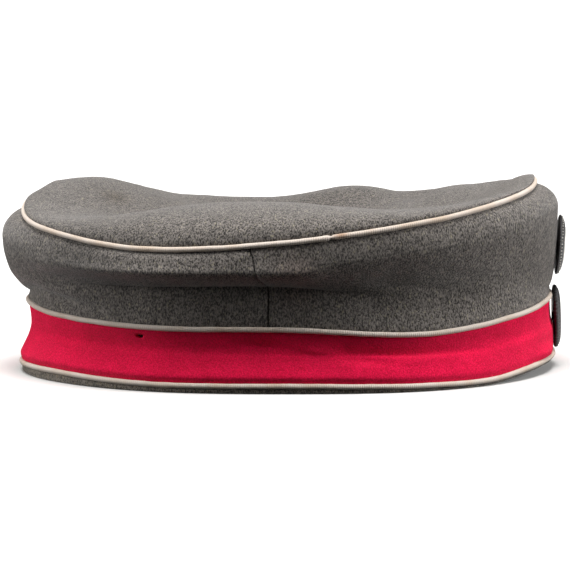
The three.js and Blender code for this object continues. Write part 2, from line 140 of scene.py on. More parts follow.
FINE_WALL_FOLDS = (  # at, reach, z, height, climb, out, all too small for the plain part
    Fold(151, 13, 32, 1.5, 0.2, -1.4),  # sharp crease in the rear roll
    Fold(125, 26, 45, 2.2, 0, 1.7),  # full lower lip of the side roll
    Fold(122, 24, 40.6, 1.8, 0, -1.7),  # and the valley under it
    Fold(60, 12, 38, 1.6, 0.25, -0.5),  # slack in the front side
    Fold(45, 9, 44, 2.2, 0.3, 0.5),
)

FINE_BAND_FOLDS = (  # at, reach, z, height, climb, out
    Fold(122, 14, 19.6, 1.3, -0.03, -0.6),  # puckers along the band
    Fold(95, 6, 17.5, 1.4, 0.15, -0.8),
    Fold(83, 5, 15, 1.4, 0.2, 0.7),
    Fold(72, 6, 11.5, 1.4, 0.15, -0.8),
    Fold(58, 6, 12, 1.5, -0.12, 0.6),
    Fold(40, 8, 17, 1.6, 0.05, -0.4),
)

TOP_LUMPS = (  # x, y, reach_x, reach_y, rise
    Lump(-60, 18, 36, 24, 9),  # rear mound
    Lump(16, 2, 56, 34, -11),  # middle hollow
    Lump(90, 0, 12, 26, 2),  # front mound
    Lump(24, 64, 17, 12, 3.4),  # left hump
    Lump(50, 58, 8, 14, -3.4),  # left dip
    Lump(72, 44, 14, 14, 0.6),  # left front hump
)


def mix(low: Grid | float, high: Grid | float, share: Grid | float) -> Grid:
    """Goes from low to high as share goes from 0 to 1."""
    return low + (high - low) * share


def smooth(share: Grid) -> Grid:
    """Eases a share from 0 to 1 in and out."""
    return share * share * (3 - 2 * share)


def bell(distance: Grid, reach: Grid | float) -> Grid:
    """Falls from 1 at no distance to nothing well past reach."""
    return np.exp(-((distance / reach) ** 2))


def shares(count: int) -> Grid:
    """Equal steps up to 1, without the 0 that they start from."""
    return np.linspace(0, 1, count + 1)[1:]


def whole_turn(steps: int) -> Grid:
    """Angles in degrees at equal steps round the cap."""
    return np.arange(steps) * 360.0 / steps


def spline(v: Grid, before: Grid, start: Grid, end: Grid, after: Grid) -> Grid:
    """Goes smoothly from start to end as v goes from 0 to 1, between the values before and after."""
    return (
        (2 * v**3 - 3 * v**2 + 1) * start + (v**3 - 2 * v**2 + v) * (end - before) / 2
        + (3 * v**2 - 2 * v**3) * end + (v**3 - v**2) * (after - start) / 2
    )


def through(controls: list[Grid], rows: int) -> Grid:
    """Draws a smooth curve through control values.

    Args:
        controls: The values at each control, for every angle.
        rows: How many points of the curve to read.

    Returns:
        One row of values for each angle.
    """
    stacked = np.stack(controls, axis=1)
    last = len(controls) - 1
    place = np.linspace(0, 1, rows) * last
    first = np.minimum(np.floor(place).astype(int), last - 1)
    return spline(place - first, *(stacked[:, np.clip(first + k, 0, last)] for k in range(-1, 3)))


@dataclass(frozen=True)
class CapForm:
    """The form that every cloth piece follows, in millimetres round the rim oval."""

    half_length: float = 101.6
    half_width: float = 77.6
    egg: float = 0.08  # how much blunter the front is
    lift: float = 3.2  # the rim arches off the surface at the front
    lift_within: float = 0.7  # where the cosine of the angle is over this
    centre_z: float = 57.0
    crest_fade: float = 13.0  # how far the puff of the crown's edge runs out towards the middle
    lump_margin: float = 8.0  # lumps fade out over this distance before the crown seam
    edge_space: float = 0.75  # a cloth edge stops this far from a piping's middle
    bead_space: float = 1.45  # and its surface this far
    bead_tuck: float = 1.0  # the edge is drawn in this far behind the bead

    def shift(self) -> Grid:
        """Where the middle of the rim oval lies in the part's frame, in metres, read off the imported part."""
        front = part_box("base_band")[1][0] - self.half_length * MM
        low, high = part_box("cockade_lower_boss")
        return np.array([front, (low[1] + high[1]) / 2, 0.0])

    def column(self, name: str, at: Grid) -> Grid:
        """Reads one column of SECTIONS at any angle.

        Args:
            name: The column, such as "band_z".
            at: Angles in degrees.

        Returns:
            The values there, on a smooth curve through the sections.
        """
        rows = np.array([getattr(section, name) for section in SECTIONS], dtype=float)
        place = np.mod(at, 360.0) * len(rows) / 360.0
        first = np.floor(place).astype(int)
        return spline(place - first, *(rows[(first + k) % len(rows)] for k in range(-1, 3)))

    def between(self, low: str, high: str, at: Grid, share: Grid) -> Grid:
        """Goes from one column to another as share goes from 0 to 1."""
        return mix(self.column(low, at), self.column(high, at), share)

    def front_lift(self, at: Grid) -> Grid:
        """How high the rim arches off the surface at each angle."""
        share = (np.cos(np.radians(at)) - self.lift_within) / (1 - self.lift_within)
        return self.lift * smooth(np.clip(share, 0, 1))

    def low_z(self, at: Grid) -> Grid:
        """Height of the lower piping at each angle."""
        return self.column("low_z", at) + self.front_lift(at)

    def local(self, at: Grid, out: Grid, z: Grid) -> Grid:
        """Places points of the cap.

        Args:
            at: Angles in degrees.
            out: Distances outside the rim oval.
            z: Heights.

        Returns:
            The points in millimetres from the middle of the rim oval, with the coordinates last.
        """
        t = np.radians(at)
        x = self.half_length * np.cos(t)
        y = self.half_width * np.sin(t) * (1 + self.egg * np.cos(t))
        along_x = -self.half_length * np.sin(t)
        along_y = self.half_width * (np.cos(t) + self.egg * np.cos(2 * t))
        reach = (out + self.column("rim", at)) / np.hypot(along_x, along_y)
        placed = np.broadcast_arrays(x + reach * along_y, -(y - reach * along_x), z)
        return np.stack(placed, axis=-1)

    def point(self, at: Grid, out: Grid, z: Grid) -> Grid:
        """Places points like local, but in metres in the part's frame."""
        return self.local(at, out, z) * MM + self.shift()

    def folds(self, folds: tuple[Fold, ...], at: Grid, z: Grid) -> Grid:
        """Adds up how far a set of folds pushes the cloth out at each angle and height."""
        out = np.zeros(np.broadcast(at, z).shape)
        for fold in folds:
            turn = np.mod(at - fold.at + 180, 360) - 180
            out += fold.out * bell(turn, fold.reach) * bell(z - fold.z - turn * fold.climb, fold.height)
        return out

    def cloth_edge(self, rows: int) -> tuple[Grid, Grid]:
        """Rounds a cloth's edge in behind the bead of a piping.

        Args:
            rows: How many rows of the cloth the rounding takes.

        Returns:
            How far in each row is drawn, and how far it lies from the piping's middle, edge first.
        """
        turn = np.linspace(0, math.pi / 2, rows + 1)[:-1]
        return self.bead_tuck * (1 - np.sin(turn)), mix(self.edge_space, self.bead_space, 1 - np.cos(turn))

    def crown_height(self, at: Grid, x: Grid, y: Grid, span: Grid, share: Grid) -> Grid:
        """Height of the crown top's outer side.

        Args:
            at: Angles in degrees.
            x: Distances from the middle of the oval towards the front.
            y: Distances from the middle of the oval towards the left side.
            span: Distance from the middle of the oval to the crown seam at each angle.
            share: How far out the points lie, from 0 in the middle to 1 at the seam.

        Returns:
            Heights in millimetres.
        """
        inward = span * (1 - share)
        crest_in = self.column("crest_in", at)
        before = np.minimum(1, inward / crest_in)
        after = np.maximum(0, inward - crest_in)
        puff = self.column("crest", at) * np.sqrt(1 - (1 - before) ** 2) * bell(after, self.crest_fade)
        lumps = np.zeros(np.shape(inward))
        for lump in TOP_LUMPS:
            lumps += lump.rise * bell(x - lump.x, lump.reach_x) * bell(y - lump.y, lump.reach_y)
        base = mix(self.centre_z, self.column("edge_z", at) + self.bead_space, share**2)
        return base + puff + lumps * np.clip(inward / self.lump_margin, 0, 1)


@dataclass(frozen=True)
class Ripple:
    """Soft unevenness of a cloth or cord, the same in every run."""

    depth: float
    wave: float  # size of its bumps in millimetres
    seed: float  # moves the pattern, so that pieces differ

    def __call__(self, points: Grid) -> Grid:
        """Reads the unevenness at places in metres, from about -depth to depth."""
        places = (points / (self.wave * MM)).reshape(-1, 3)
        offset = Vector((self.seed, -self.seed, 2 * self.seed))
        values = [noise.noise(Vector(place) + offset) for place in places]
        return self.depth * np.array(values).reshape(points.shape[:-1])


def unevenness(ripples: tuple[Ripple, ...], points: Grid) -> Grid:
    """Adds up ripples at places in metres."""
    return sum(ripple(points) for ripple in ripples)


# --- Meshes -------------------------------------------------------------------------------------


def inner_side(out: Grid, z: Grid, thickness: float) -> tuple[Grid, Grid]:
    """Finds the other side of a cloth, square to its profile, with level edges.

    Args:
        out: Outer side's distances, a row for each angle.
        z: Outer side's heights.
        thickness: Thickness of the cloth.

    Returns:
        The inner side's distances and heights.
    """
    turn_out, turn_z = np.gradient(out, axis=1), np.gradient(z, axis=1)
    length = np.hypot(turn_out, turn_z)
    inner_out = out - turn_z / length * thickness
    inner_z = z + turn_out / length * thickness
    ends = [0, -1]
    inner_out[:, ends] = out[:, ends] - thickness
    inner_z[:, ends] = z[:, ends]
    return inner_out, inner_z


def new_object(name: str, points: Grid, faces: list[tuple[int, ...]]) -> Object:
    """Makes a smooth-shaded mesh object.

    Args:
        name: Name of the piece.
        points: Vertices in metres, one row each.
        faces: Vertex numbers of each face.

    Returns:
        The object, linked to the scene.
    """
    mesh = bpy.data.meshes.new(name)
    mesh.from_pydata([tuple(p) for p in points], [], [tuple(int(v) for v in face) for face in faces])
    mesh.validate()
    mesh.update()
    mesh.polygons.foreach_set("use_smooth", [True] * len(mesh.polygons))
    piece = bpy.data.objects.new(name, mesh)
    bpy.context.scene.collection.objects.link(piece)
    return piece


def face_outward(piece: Object) -> None:
    """Turns all the faces of a closed mesh outward."""
    mesh = piece.data
    mesh.calc_loop_triangles()
    corners = np.array([vertex.co[:] for vertex in mesh.vertices])
    triangles = np.array([triangle.vertices[:] for triangle in mesh.loop_triangles])
    a, b, c = (corners[triangles[:, k]] for k in range(3))
    if np.einsum("ij,ij->i", a, np.cross(b, c)).sum() < 0:
        mesh.flip_normals()


def quads(count: int, size: int, closed: bool = True, ring: bool = True) -> list[tuple[int, ...]]:
    """Lists the faces between sections that follow each other.

    Args:
        count: Number of sections.
        size: Points in each section.
        closed: Whether the last section joins the first.
        ring: Whether the last point of a section joins its first.

    Returns:
        The vertex numbers of each face.
    """
    here = (np.arange(count if closed else count - 1) * size)[:, None]
    beyond = (here + size) % (count * size)
    k = np.arange(size if ring else size - 1)[None, :]
    up = (k + 1) % size
    return np.stack([here + k, here + up, beyond + up, beyond + k], axis=-1).reshape(-1, 4).tolist()


def swept_object(name: str, loops: Grid, closed: bool = True) -> Object:
    """Makes a body swept through sections.

    Args:
        name: Name of the piece.
        loops: Sections, points and coordinates. Each section is one closed loop of points.
        closed: Whether the last section joins the first. If not, flat ends close the body.

    Returns:
        The object.
    """
    count, size, _ = loops.shape
    faces = quads(count, size, closed)
    if not closed:
        end = (count - 1) * size
        for low in range(size // 2 - 1):
            back = size - 1 - low
            faces.append((low, back, back - 1, low + 1))
            faces.append((end + low, end + low + 1, end + back - 1, end + back))
    piece = new_object(name, loops.reshape(-1, 3), faces)
    face_outward(piece)
    return piece


def sheet_object(name: str, form: CapForm, at: Grid, profile: tuple[Grid, Grid], thickness: float,
                 closed: bool = True) -> Object:
    """Makes a cloth round the cap from its angles and its outer side's distances and heights."""
    outer, inner = form.point(at, *profile), form.point(at, *inner_side(*profile, thickness))
    return swept_object(name, np.concatenate([outer, inner[:, ::-1]], axis=1), closed)


def lay_strip_uv(piece: Object, count: int, size: int, length: float, width: float) -> None:
    """Gives a closed swept body a map in metres, along it and round its section.

    Args:
        piece: The swept body.
        count: Number of its sections.
        size: Points in each section.
        length: Length along the body in metres.
        width: Length round its section in metres.
    """
    mesh = piece.data
    layer = mesh.uv_layers.new(name="strip")
    for number, polygon in enumerate(mesh.polygons):
        last_span, last_side = number // size == count - 1, number % size == size - 1
        for corner in polygon.loop_indices:
            section, place = divmod(mesh.loops[corner].vertex_index, size)
            along = count if last_span and section == 0 else section
            across = size if last_side and place == 0 else place
            layer.data[corner].uv = (along * length / count, across * width / size)


def small_ball(radius: float, around: int = 8, up: int = 5) -> tuple[Grid, list[tuple[int, ...]]]:
    """Works out a small ball.

    Args:
        radius: Its radius.
        around: Number of its sides.
        up: Number of its bands, from one tip to the other.

    Returns:
        Its points about the origin and its faces.
    """
    tall = np.arange(1, up)[:, None] * math.pi / up
    wide = np.arange(around)[None, :] * 2 * math.pi / around
    rings = np.broadcast_arrays(np.cos(tall), np.sin(tall) * np.cos(wide), np.sin(tall) * np.sin(wide))
    points = np.concatenate([np.stack(rings, axis=-1).reshape(-1, 3), [(1, 0, 0), (-1, 0, 0)]])
    tip, last_ring, faces = len(points) - 2, (up - 2) * around, []
    for j in range(around):
        beside = (j + 1) % around
        faces += [(tip, j, beside), (tip + 1, last_ring + beside, last_ring + j)]
        for low in range(0, last_ring, around):
            faces.append((low + j, low + around + j, low + around + beside, low + beside))
    return radius * points, faces


# --- Finishes -----------------------------------------------------------------------------------


def linear(colour: str) -> tuple[float, float, float, float]:
    """Turns an sRGB hex colour such as "7d766f" into linear light with full alpha."""
    channels = [int(colour[i:i + 2], 16) / 255 for i in (0, 2, 4)]
    light = [c / 12.92 if c <= 0.04045 else ((c + 0.055) / 1.055) ** 2.4 for c in channels]
    return (*light, 1.0)


def add_node(tree: NodeTree, kind: str, settings: dict | None = None, links: dict | None = None) -> Node:
    """Adds a node with its settings and links.

    Args:
        tree: The node tree.
        kind: The node's type, such as "ShaderNodeTexNoise".
        settings: Property names or input names, or input numbers, with their values.
        links: Input names or numbers, with the output sockets that feed them.

    Returns:
        The new node.
    """
    node = tree.nodes.new(kind)
    for key, value in (settings or {}).items():
        if isinstance(key, str) and hasattr(node, key):
            setattr(node, key, value)
        else:
            node.inputs[key].default_value = value
    for key, socket in (links or {}).items():
        tree.links.new(socket, node.inputs[key])
    return node


def spots(tree: NodeTree, place: NodeSocket, size: float, settings: dict) -> NodeSocket:
    """Adds soft random spots of a size in millimetres, and returns their strength."""
    settings = {"Scale": 1 / (size * MM), **settings}
    return add_node(tree, "ShaderNodeTexNoise", settings, {"Vector": place}).outputs["Fac"]


def spread(tree: NodeTree, value: NodeSocket, start: tuple[float, float],
           end: tuple[float, float] = (0.0, 1.0)) -> NodeSocket:
    """Spreads a value's range from start to end, cut off at both ends."""
    settings = {"From Min": start[0], "From Max": start[1], "To Min": end[0], "To Max": end[1]}
    return add_node(tree, "ShaderNodeMapRange", settings, {"Value": value}).outputs["Result"]


def blend(tree: NodeTree, share: NodeSocket, colour: str | NodeSocket, other: str | NodeSocket,
          how: str = "MIX") -> NodeSocket:
    """Blends a colour with another one, each an sRGB hex colour or a socket."""
    settings, links = {"data_type": "RGBA", "blend_type": how}, {0: share}
    for number, value in ((6, colour), (7, other)):
        if isinstance(value, str):
            settings[number] = linear(value)
        else:
            links[number] = value
    return add_node(tree, "ShaderNodeMix", settings, links).outputs[2]


def lit(tree: NodeTree, colour: NodeSocket, light: NodeSocket) -> NodeSocket:
    """Makes a colour lighter where light is over 1, and darker where it is under 1."""
    settings = {"operation": "MULTIPLY"}
    return add_node(tree, "ShaderNodeVectorMath", settings, {0: colour, 1: light}).outputs["Vector"]


def raised(tree: NodeTree, height: NodeSocket, strength: float, depth: float) -> NodeSocket:
    """Raises a surface by up to depth in millimetres."""
    settings = {"Strength": strength, "Distance": depth * MM}
    return add_node(tree, "ShaderNodeBump", settings, {"Height": height}).outputs["Normal"]


@dataclass(frozen=True)
class StainOrShade:
    """A soft discoloured spot of the cloth: a real stain, or a spot of painted shade where its comment says
    so.
    """

    at: float  # degrees round the cap
    out: float
    z: float
    reach: float
    colour: str
    strength: float

    def over(self, tree: NodeTree, colour: NodeSocket, place: NodeSocket, form: CapForm) -> NodeSocket:
        """Lays the spot over a colour.

        Args:
            tree: The node tree.
            colour: The cloth's colour.
            place: Where on the cap the colour is read.
            form: The cap's form, which places the spot.

        Returns:
            The spotted colour.
        """
        middle = tuple(form.point(self.at, self.out, self.z))
        away = add_node(tree, "ShaderNodeVectorMath", {"operation": "DISTANCE", 1: middle}, {0: place})
        share = add_node(tree, "ShaderNodeMapRange",
                         {"interpolation_type": "SMOOTHSTEP", "From Max": self.reach * MM,
                          "To Min": self.strength, "To Max": 0.0}, {"Value": away.outputs["Value"]})
        return blend(tree, share.outputs["Result"], colour, self.colour, "MULTIPLY")


@dataclass(frozen=True)
class Finish:
    """A surface, named for what it is made of and how."""

    name: str

    def material(self, form: CapForm) -> Material:
        """Makes the material.

        Args:
            form: The cap's form, which places the stains and the spots of painted shade.

        Returns:
            The material.
        """
        material = bpy.data.materials.new(self.name)
        material.use_nodes = True
        tree = material.node_tree
        tree.nodes.clear()
        coordinates = add_node(tree, "ShaderNodeTexCoord").outputs
        surface = add_node(tree, "ShaderNodeBsdfPrincipled", *self.surface(tree, coordinates, form))
        add_node(tree, "ShaderNodeOutputMaterial", links={"Surface": surface.outputs["BSDF"]})
        return material


@dataclass(frozen=True)
class FulledWool(Finish):
    """Fulled (felted) woollen cloth, woven from dyed-in-the-wool fibres.

    It has no visible weave: light and dark fibres lie mixed in a matt, slightly hairy nap that runs
    down the piece, and its edges catch a faint sheen.
    """

    dark: str  # dark fibres
    light: str  # light fibres
    fleck: str  # stray fibres of another colour
    grain: float  # width of a fibre tuft in millimetres, drawn coarser than real fibres to show
    contrast: float  # half the part of the noise's range over which dark turns to light
    mottle: float  # size of the uneven patches in millimetres
    mottle_depth: float
    relief: float  # height of the nap in millimetres
    nap: float = 0.55  # under 1, the tufts are longer than wide, along Z
    fleck_share: float = 0.62  # the higher, the fewer flecks
    sheen: float = 0.25
    # real stains, and spots of painted shade that darken the cloth where shade falls
    stains_and_shades: tuple[StainOrShade, ...] = ()

    def surface(self, tree: NodeTree, at: Sockets, form: CapForm) -> tuple[dict, dict]:
        """Works out the settings and links of the surface."""
        place = at["Object"]
        combed = add_node(tree, "ShaderNodeMapping", {"Scale": (1, 1, self.nap)}, {"Vector": place})
        combed_place = combed.outputs["Vector"]
        tufts = spots(tree, combed_place, self.grain, {"Detail": 3.0, "Roughness": 0.65})
        light_share = spread(tree, tufts, (0.5 - self.contrast, 0.5 + self.contrast))
        colour = blend(tree, light_share, self.dark, self.light)
        strays = spots(tree, combed_place, 1.3 * self.grain,
                       {"noise_dimensions": "4D", "W": 3.7, "Detail": 1.0})
        stray_share = spread(tree, strays, (self.fleck_share, self.fleck_share + 0.1), (0.0, 0.7))
        colour = blend(tree, stray_share, colour, self.fleck)
        patches = spots(tree, place, self.mottle, {"Detail": 2.0})
        colour = lit(tree, colour, spread(tree, patches, (0.3, 0.7),
                                          (1 - self.mottle_depth, 1 + self.mottle_depth)))
        for stain_or_shade in self.stains_and_shades:
            colour = stain_or_shade.over(tree, colour, place, form)
        settings = {"Roughness": 0.95, "Specular IOR Level": 0.15, "Sheen Weight": self.sheen,
                    "Sheen Roughness": 0.6}
        return settings, {"Base Color": colour, "Normal": raised(tree, tufts, 0.7, self.relief)}


@dataclass(frozen=True)
class WoolCord(Finish):
    """Undyed wool twill, cut on the bias and sewn round a cord as a piping.

    It is creamy and matt, a little yellowed and soiled by wear, with its twill showing as fine ribs
    across the cord.
    """

    clean: str
    worn: str
    rib: float = 0.75  # spacing of the ribs in millimetres
    rib_depth: float = 0.12
    soil: float = 11.0  # size of the yellowed stretches in millimetres
    stains_and_shades: tuple[StainOrShade, ...] = ()

    def surface(self, tree: NodeTree, at: Sockets, form: CapForm) -> tuple[dict, dict]:
        """Works out the settings and links of the surface."""
        place = at["Object"]
        ribs = add_node(tree, "ShaderNodeTexWave",
                        {"Scale": math.pi / 10 / (self.rib * MM), "Distortion": 1.2, "Detail": 1.0,
                         "wave_profile": "SIN"}, {"Vector": at["UV"]}).outputs["Fac"]
        soil_share = spread(tree, spots(tree, place, self.soil, {"Detail": 3.0}), (0.4, 0.75))
        colour = blend(tree, soil_share, self.clean, self.worn)
        # the ribs are painted a little darker in their grooves: painted shade
        colour = lit(tree, colour, spread(tree, ribs, (0.0, 1.0), (0.93, 1.02)))
        for stain_or_shade in self.stains_and_shades:
            colour = stain_or_shade.over(tree, colour, place, form)
        settings = {"Roughness": 0.9, "Specular IOR Level": 0.2, "Sheen Weight": 0.15}
        return settings, {"Base Color": colour, "Normal": raised(tree, ribs, 0.8, self.rib_depth)}


@dataclass(frozen=True)
class PressedTin(Finish):
    """Pressed tin plate with a thin lacquer or silvering.

    It is smooth with a dull gloss, and scuffed in small soft patches.
    """

    colour: str
    scuffed: str
    metallic: float = 0.0
    gloss: tuple[float, float] = (0.35, 0.6)  # roughness where it is clean and where it is scuffed
    scuff: float = 1.6  # size of the scuffs in millimetres
    scuff_range: tuple[float, float] = (0.52, 0.68)  # the higher, the fewer scuffs

    def surface(self, tree: NodeTree, at: Sockets, form: CapForm) -> tuple[dict, dict]:
        """Works out the settings and links of the surface."""
        scuffs = spots(tree, at["Object"], self.scuff, {"Detail": 4.0, "Roughness": 0.7})
        colour = blend(tree, spread(tree, scuffs, self.scuff_range), self.colour, self.scuffed)
        roughness = spread(tree, scuffs, (0.0, 1.0), self.gloss)
        return {"Metallic": self.metallic}, {"Base Color": colour, "Roughness": roughness,
                                             "Normal": raised(tree, scuffs, 0.3, 0.05)}


@dataclass(frozen=True)
class MattPaper(Finish):
    """Smooth matt background paper: even, pale and without gloss."""

    colour: str

    def surface(self, tree: NodeTree, at: Sockets, form: CapForm) -> tuple[dict, dict]:
        """Works out the settings and links of the surface."""
        return {"Base Color": linear(self.colour), "Roughness": 0.9, "Specular IOR Level": 0.1}, {}


GREY_WOOL = FulledWool(
    name="field_grey_fulled_wool", dark="272320", light="87807a", fleck="a29a84", grain=0.55,
    contrast=0.1, mottle=3.0, mottle_depth=0.18, relief=0.4,
    stains_and_shades=(
        StainOrShade(at=30, out=2, z=54.7, reach=1.1, colour="2c2622", strength=0.9),  # small dark spot
        StainOrShade(at=88, out=2, z=41.5, reach=17, colour="c89c8c", strength=0.6),  # painted shade in the side fold, darker and reddish
        StainOrShade(at=135, out=3, z=45, reach=26, colour="38332f", strength=0.4),  # painted shade on the side roll
        StainOrShade(at=188, out=-36, z=66, reach=9, colour="b5a174", strength=0.5),  # old damp marks on top
        StainOrShade(at=112, out=-25, z=65, reach=8, colour="b5a174", strength=0.5),
        StainOrShade(at=270, out=-42, z=60, reach=75, colour="a39d96", strength=0.5),  # painted shade over the middle and far side of the top
        # painted shade on the rear mound of the top
        StainOrShade(at=185, out=-38, z=66, reach=48, colour="a39d96", strength=0.3),
    ),
)
BASE_WOOL = FulledWool(
    name="soiled_grey_fulled_wool", dark="37322d", light="a0968a", fleck="b0a07c", grain=0.45,
    contrast=0.12, mottle=6.0, mottle_depth=0.25, relief=0.3,
)
CRIMSON_WOOL = FulledWool(
    name="crimson_piece_dyed_wool", dark="d40034", light="ff1252", fleck="ff2a62", grain=0.5,
    contrast=0.14, mottle=11.0, mottle_depth=0.08, relief=0.35, nap=0.8, fleck_share=0.68, sheen=0.05,
)
PIPING_CORD = WoolCord(
    name="undyed_wool_piping", clean="e3d6ca", worn="d2bda8",
    stains_and_shades=(StainOrShade(at=79, out=7, z=60, reach=4.5, colour="c49a72", strength=0.8),),  # beside the join
)
BLACK_TIN = PressedTin(name="black_lacquered_tin", colour="1b191c", scuffed="3a3633")
SILVER_TIN = PressedTin(name="silvered_tin", colour="b4b2ac", scuffed="77736b", metallic=0.9)
RED_TIN = PressedTin(name="red_lacquered_tin", colour="8c1f2b", scuffed="5a2020")


def dress(piece: Object, material: Material, slot: str, *nodes: str) -> None:
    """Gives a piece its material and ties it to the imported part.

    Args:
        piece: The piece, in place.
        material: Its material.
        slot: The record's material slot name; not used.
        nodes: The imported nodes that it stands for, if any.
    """
    piece.data.materials.clear()
    piece.data.materials.append(material)
    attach(piece, BODY)
    if nodes:
        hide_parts(*nodes)
    LOG.info("%s: %d faces", piece.name, len(piece.data.polygons))


# --- Sub-assemblies -----------------------------------------------------------------------------


@dataclass(frozen=True)
class MothHole:
    """A small hole eaten through the band and the cloth behind it."""

    form: CapForm
    at: float = 123.2
    z: float = 20.0
    width: float = 2.9
    height: float = 1.4
    depth: float = 12.0

    def cut(self, piece: Object) -> None:
        """Cuts the hole into a piece, which keeps its name."""
        cutter = self.rod()
        modifier = piece.modifiers.new("moth hole", "BOOLEAN")
        modifier.operation = "DIFFERENCE"
        modifier.solver = "EXACT"
        modifier.object = cutter
        bpy.context.view_layer.update()
        graph = bpy.context.evaluated_depsgraph_get()
        holed = bpy.data.meshes.new_from_object(piece.evaluated_get(graph))
        piece.modifiers.clear()
        piece.data = holed
        bpy.data.objects.remove(cutter)

    def rod(self) -> Object:
        """Makes a ragged rod across the cloth, the size of the hole."""
        turn = np.radians(whole_turn(24))
        ragged = 0.5 * (1 + 0.12 * np.sin(3 * turn) + 0.08 * np.cos(5 * turn))
        middle = self.form.point(self.at, self.form.column("waist", self.at), self.z)
        axis = self.form.point(self.at, 10.0, self.z) - middle
        axis /= np.linalg.norm(axis)
        upward = np.array([0.0, 0.0, 1.0])
        outline = (np.outer(np.cos(turn) * ragged * self.width, np.cross(axis, upward))
                   + np.outer(np.sin(turn) * ragged * self.height, upward))
        ends = [middle + (outline + reach * self.depth / 2 * axis) * MM for reach in (-1, 1)]
        return swept_object("hole_rod", np.stack(ends), closed=False)


@dataclass(frozen=True)
class CrownWall:
    """The crown's wall: a rear and a front panel that meet in a slanting seam on each side."""

    form: CapForm
    cloth: float = 1.8
    ripples: tuple[Ripple, ...] = (Ripple(0.35, 14, 3.0), Ripple(0.1, 4, 8.0))
    roll_turn: float = 75.0  # degrees of arc from the fullest line up to the crown seam
    step: float = 0.5  # degrees between sections
    end_steps: int = 6  # finer sections at a panel's ends
    end_reach: float = 0.4  # over this many degrees
    seam_gap: float = 0.1  # degrees between a panel's end and its seam line
    seam_round: float = 0.6  # a panel's ends are drawn in this far
    seam_reach: float = 0.55  # within this many degrees
    right_seam: tuple[float, float, float] = (94.3, 96.3, 97.4)  # angle at the foot, roll and head
    left_seam: tuple[float, float, float] = (265.7, 263.7, 262.6)
    low_rows: int = 9
    under_rows: int = 26
    over_rows: int = 18
    edge_rows: int = 4

    def rows(self) -> Grid:
        """How each row of the wall shares in the seam's foot, roll and head, a line of three each."""
        low, edge = np.zeros(self.edge_rows + self.low_rows), np.zeros(self.edge_rows)
        under, over = smooth(shares(self.under_rows)), shares(self.over_rows)
        roll = np.concatenate([low, under, 1 - over, edge])
        head = np.concatenate([low, 0 * under, over, edge + 1])
        return np.stack([1 - roll - head, roll, head], axis=1)

    def profile(self, at: Grid) -> tuple[Grid, Grid]:
        """Works out the outer side.

        Args:
            at: Angles, a row for each section and a column for each row of the wall.

        Returns:
            Distances out and heights.
        """
        form = self.form
        ends = np.cumsum([self.edge_rows, self.low_rows, self.under_rows, self.over_rows])
        foot_at, low_at, under_at, over_at, head_at = np.split(at, ends, axis=1)
        drawn_in, away = form.cloth_edge(self.edge_rows)
        foot_out = form.column("waist", foot_at) - drawn_in
        foot_z = form.column("band_z", foot_at) + away

        share = np.linspace(0, 1, self.low_rows)
        low_out = form.between("waist", "tuck", low_at, smooth(share))
        low_z = mix(form.column("band_z", low_at) + form.bead_space, form.column("tuck_z", low_at), share)

        share = shares(self.under_rows)
        quarter = share * math.pi / 2
        crease = np.clip(form.column("crease", under_at), 0, 1)
        reach = mix(smooth(share), np.sin(quarter), crease)
        climb = mix(share, 1 - np.cos(quarter), crease)
        under_out = form.between("tuck", "roll", under_at, reach)
        under_z = form.between("tuck_z", "roll_z", under_at, climb)

        last_turn = math.radians(self.roll_turn)
        turn = shares(self.over_rows) * last_turn
        reach = (np.cos(turn) - math.cos(last_turn)) / (1 - math.cos(last_turn))
        over_out = form.between("edge", "roll", over_at, reach)
        head_z = form.column("edge_z", over_at) - form.bead_space
        over_z = mix(form.column("roll_z", over_at), head_z, np.sin(turn) / math.sin(last_turn))

        share = shares(self.edge_rows)
        edge_out = form.column("edge", head_at) - form.bead_tuck * share
        edge_z = form.column("edge_z", head_at) - mix(form.bead_space, form.edge_space, share**0.7)
        out = np.concatenate([foot_out, low_out, under_out, over_out, edge_out], axis=1)
        z = np.concatenate([foot_z, low_z, under_z, over_z, edge_z], axis=1)
        return out + form.folds(WALL_FOLDS + FINE_WALL_FOLDS, at, z), z

    def panel(self, name: str, start: tuple[float, ...], end: tuple[float, ...]) -> Object:
        """Builds one panel.

        Args:
            name: Name of the piece.
            start: The seam line that it starts at.
            end: The seam line that it ends at.

        Returns:
            The piece.
        """
        rows = self.rows()
        first = rows @ np.array(start) + self.seam_gap
        last = rows @ np.array(end) - self.seam_gap
        fine = np.linspace(0, self.end_reach, self.end_steps)
        length = float(np.mean(last - first))
        middle = np.arange(self.step, length, self.step)[1:-1]
        along = np.concatenate([fine, middle, length - fine[::-1]])[:, None] / length
        at = mix(first[None, :], last[None, :], along)
        out, z = self.profile(at)
        near_end = np.minimum(at - first, last - at)
        out -= self.seam_round * bell(near_end, self.seam_reach) ** 2
        out += unevenness(self.ripples, self.form.point(at, out, z))
        return sheet_object(name, self.form, at, (out, z), self.cloth, closed=False)

    def build(self, material: Material) -> None:
        """Builds and dresses both panels."""
        rear = self.panel("rear_wall_cloth", self.right_seam, self.left_seam)
        dress(rear, material, "grey_wool", "crown_panel_rear")
        to_front = tuple(angle + 360 for angle in self.right_seam)
        front = self.panel("front_wall_cloth", self.left_seam, to_front)
        dress(front, material, "grey_wool", "crown_panel_front")


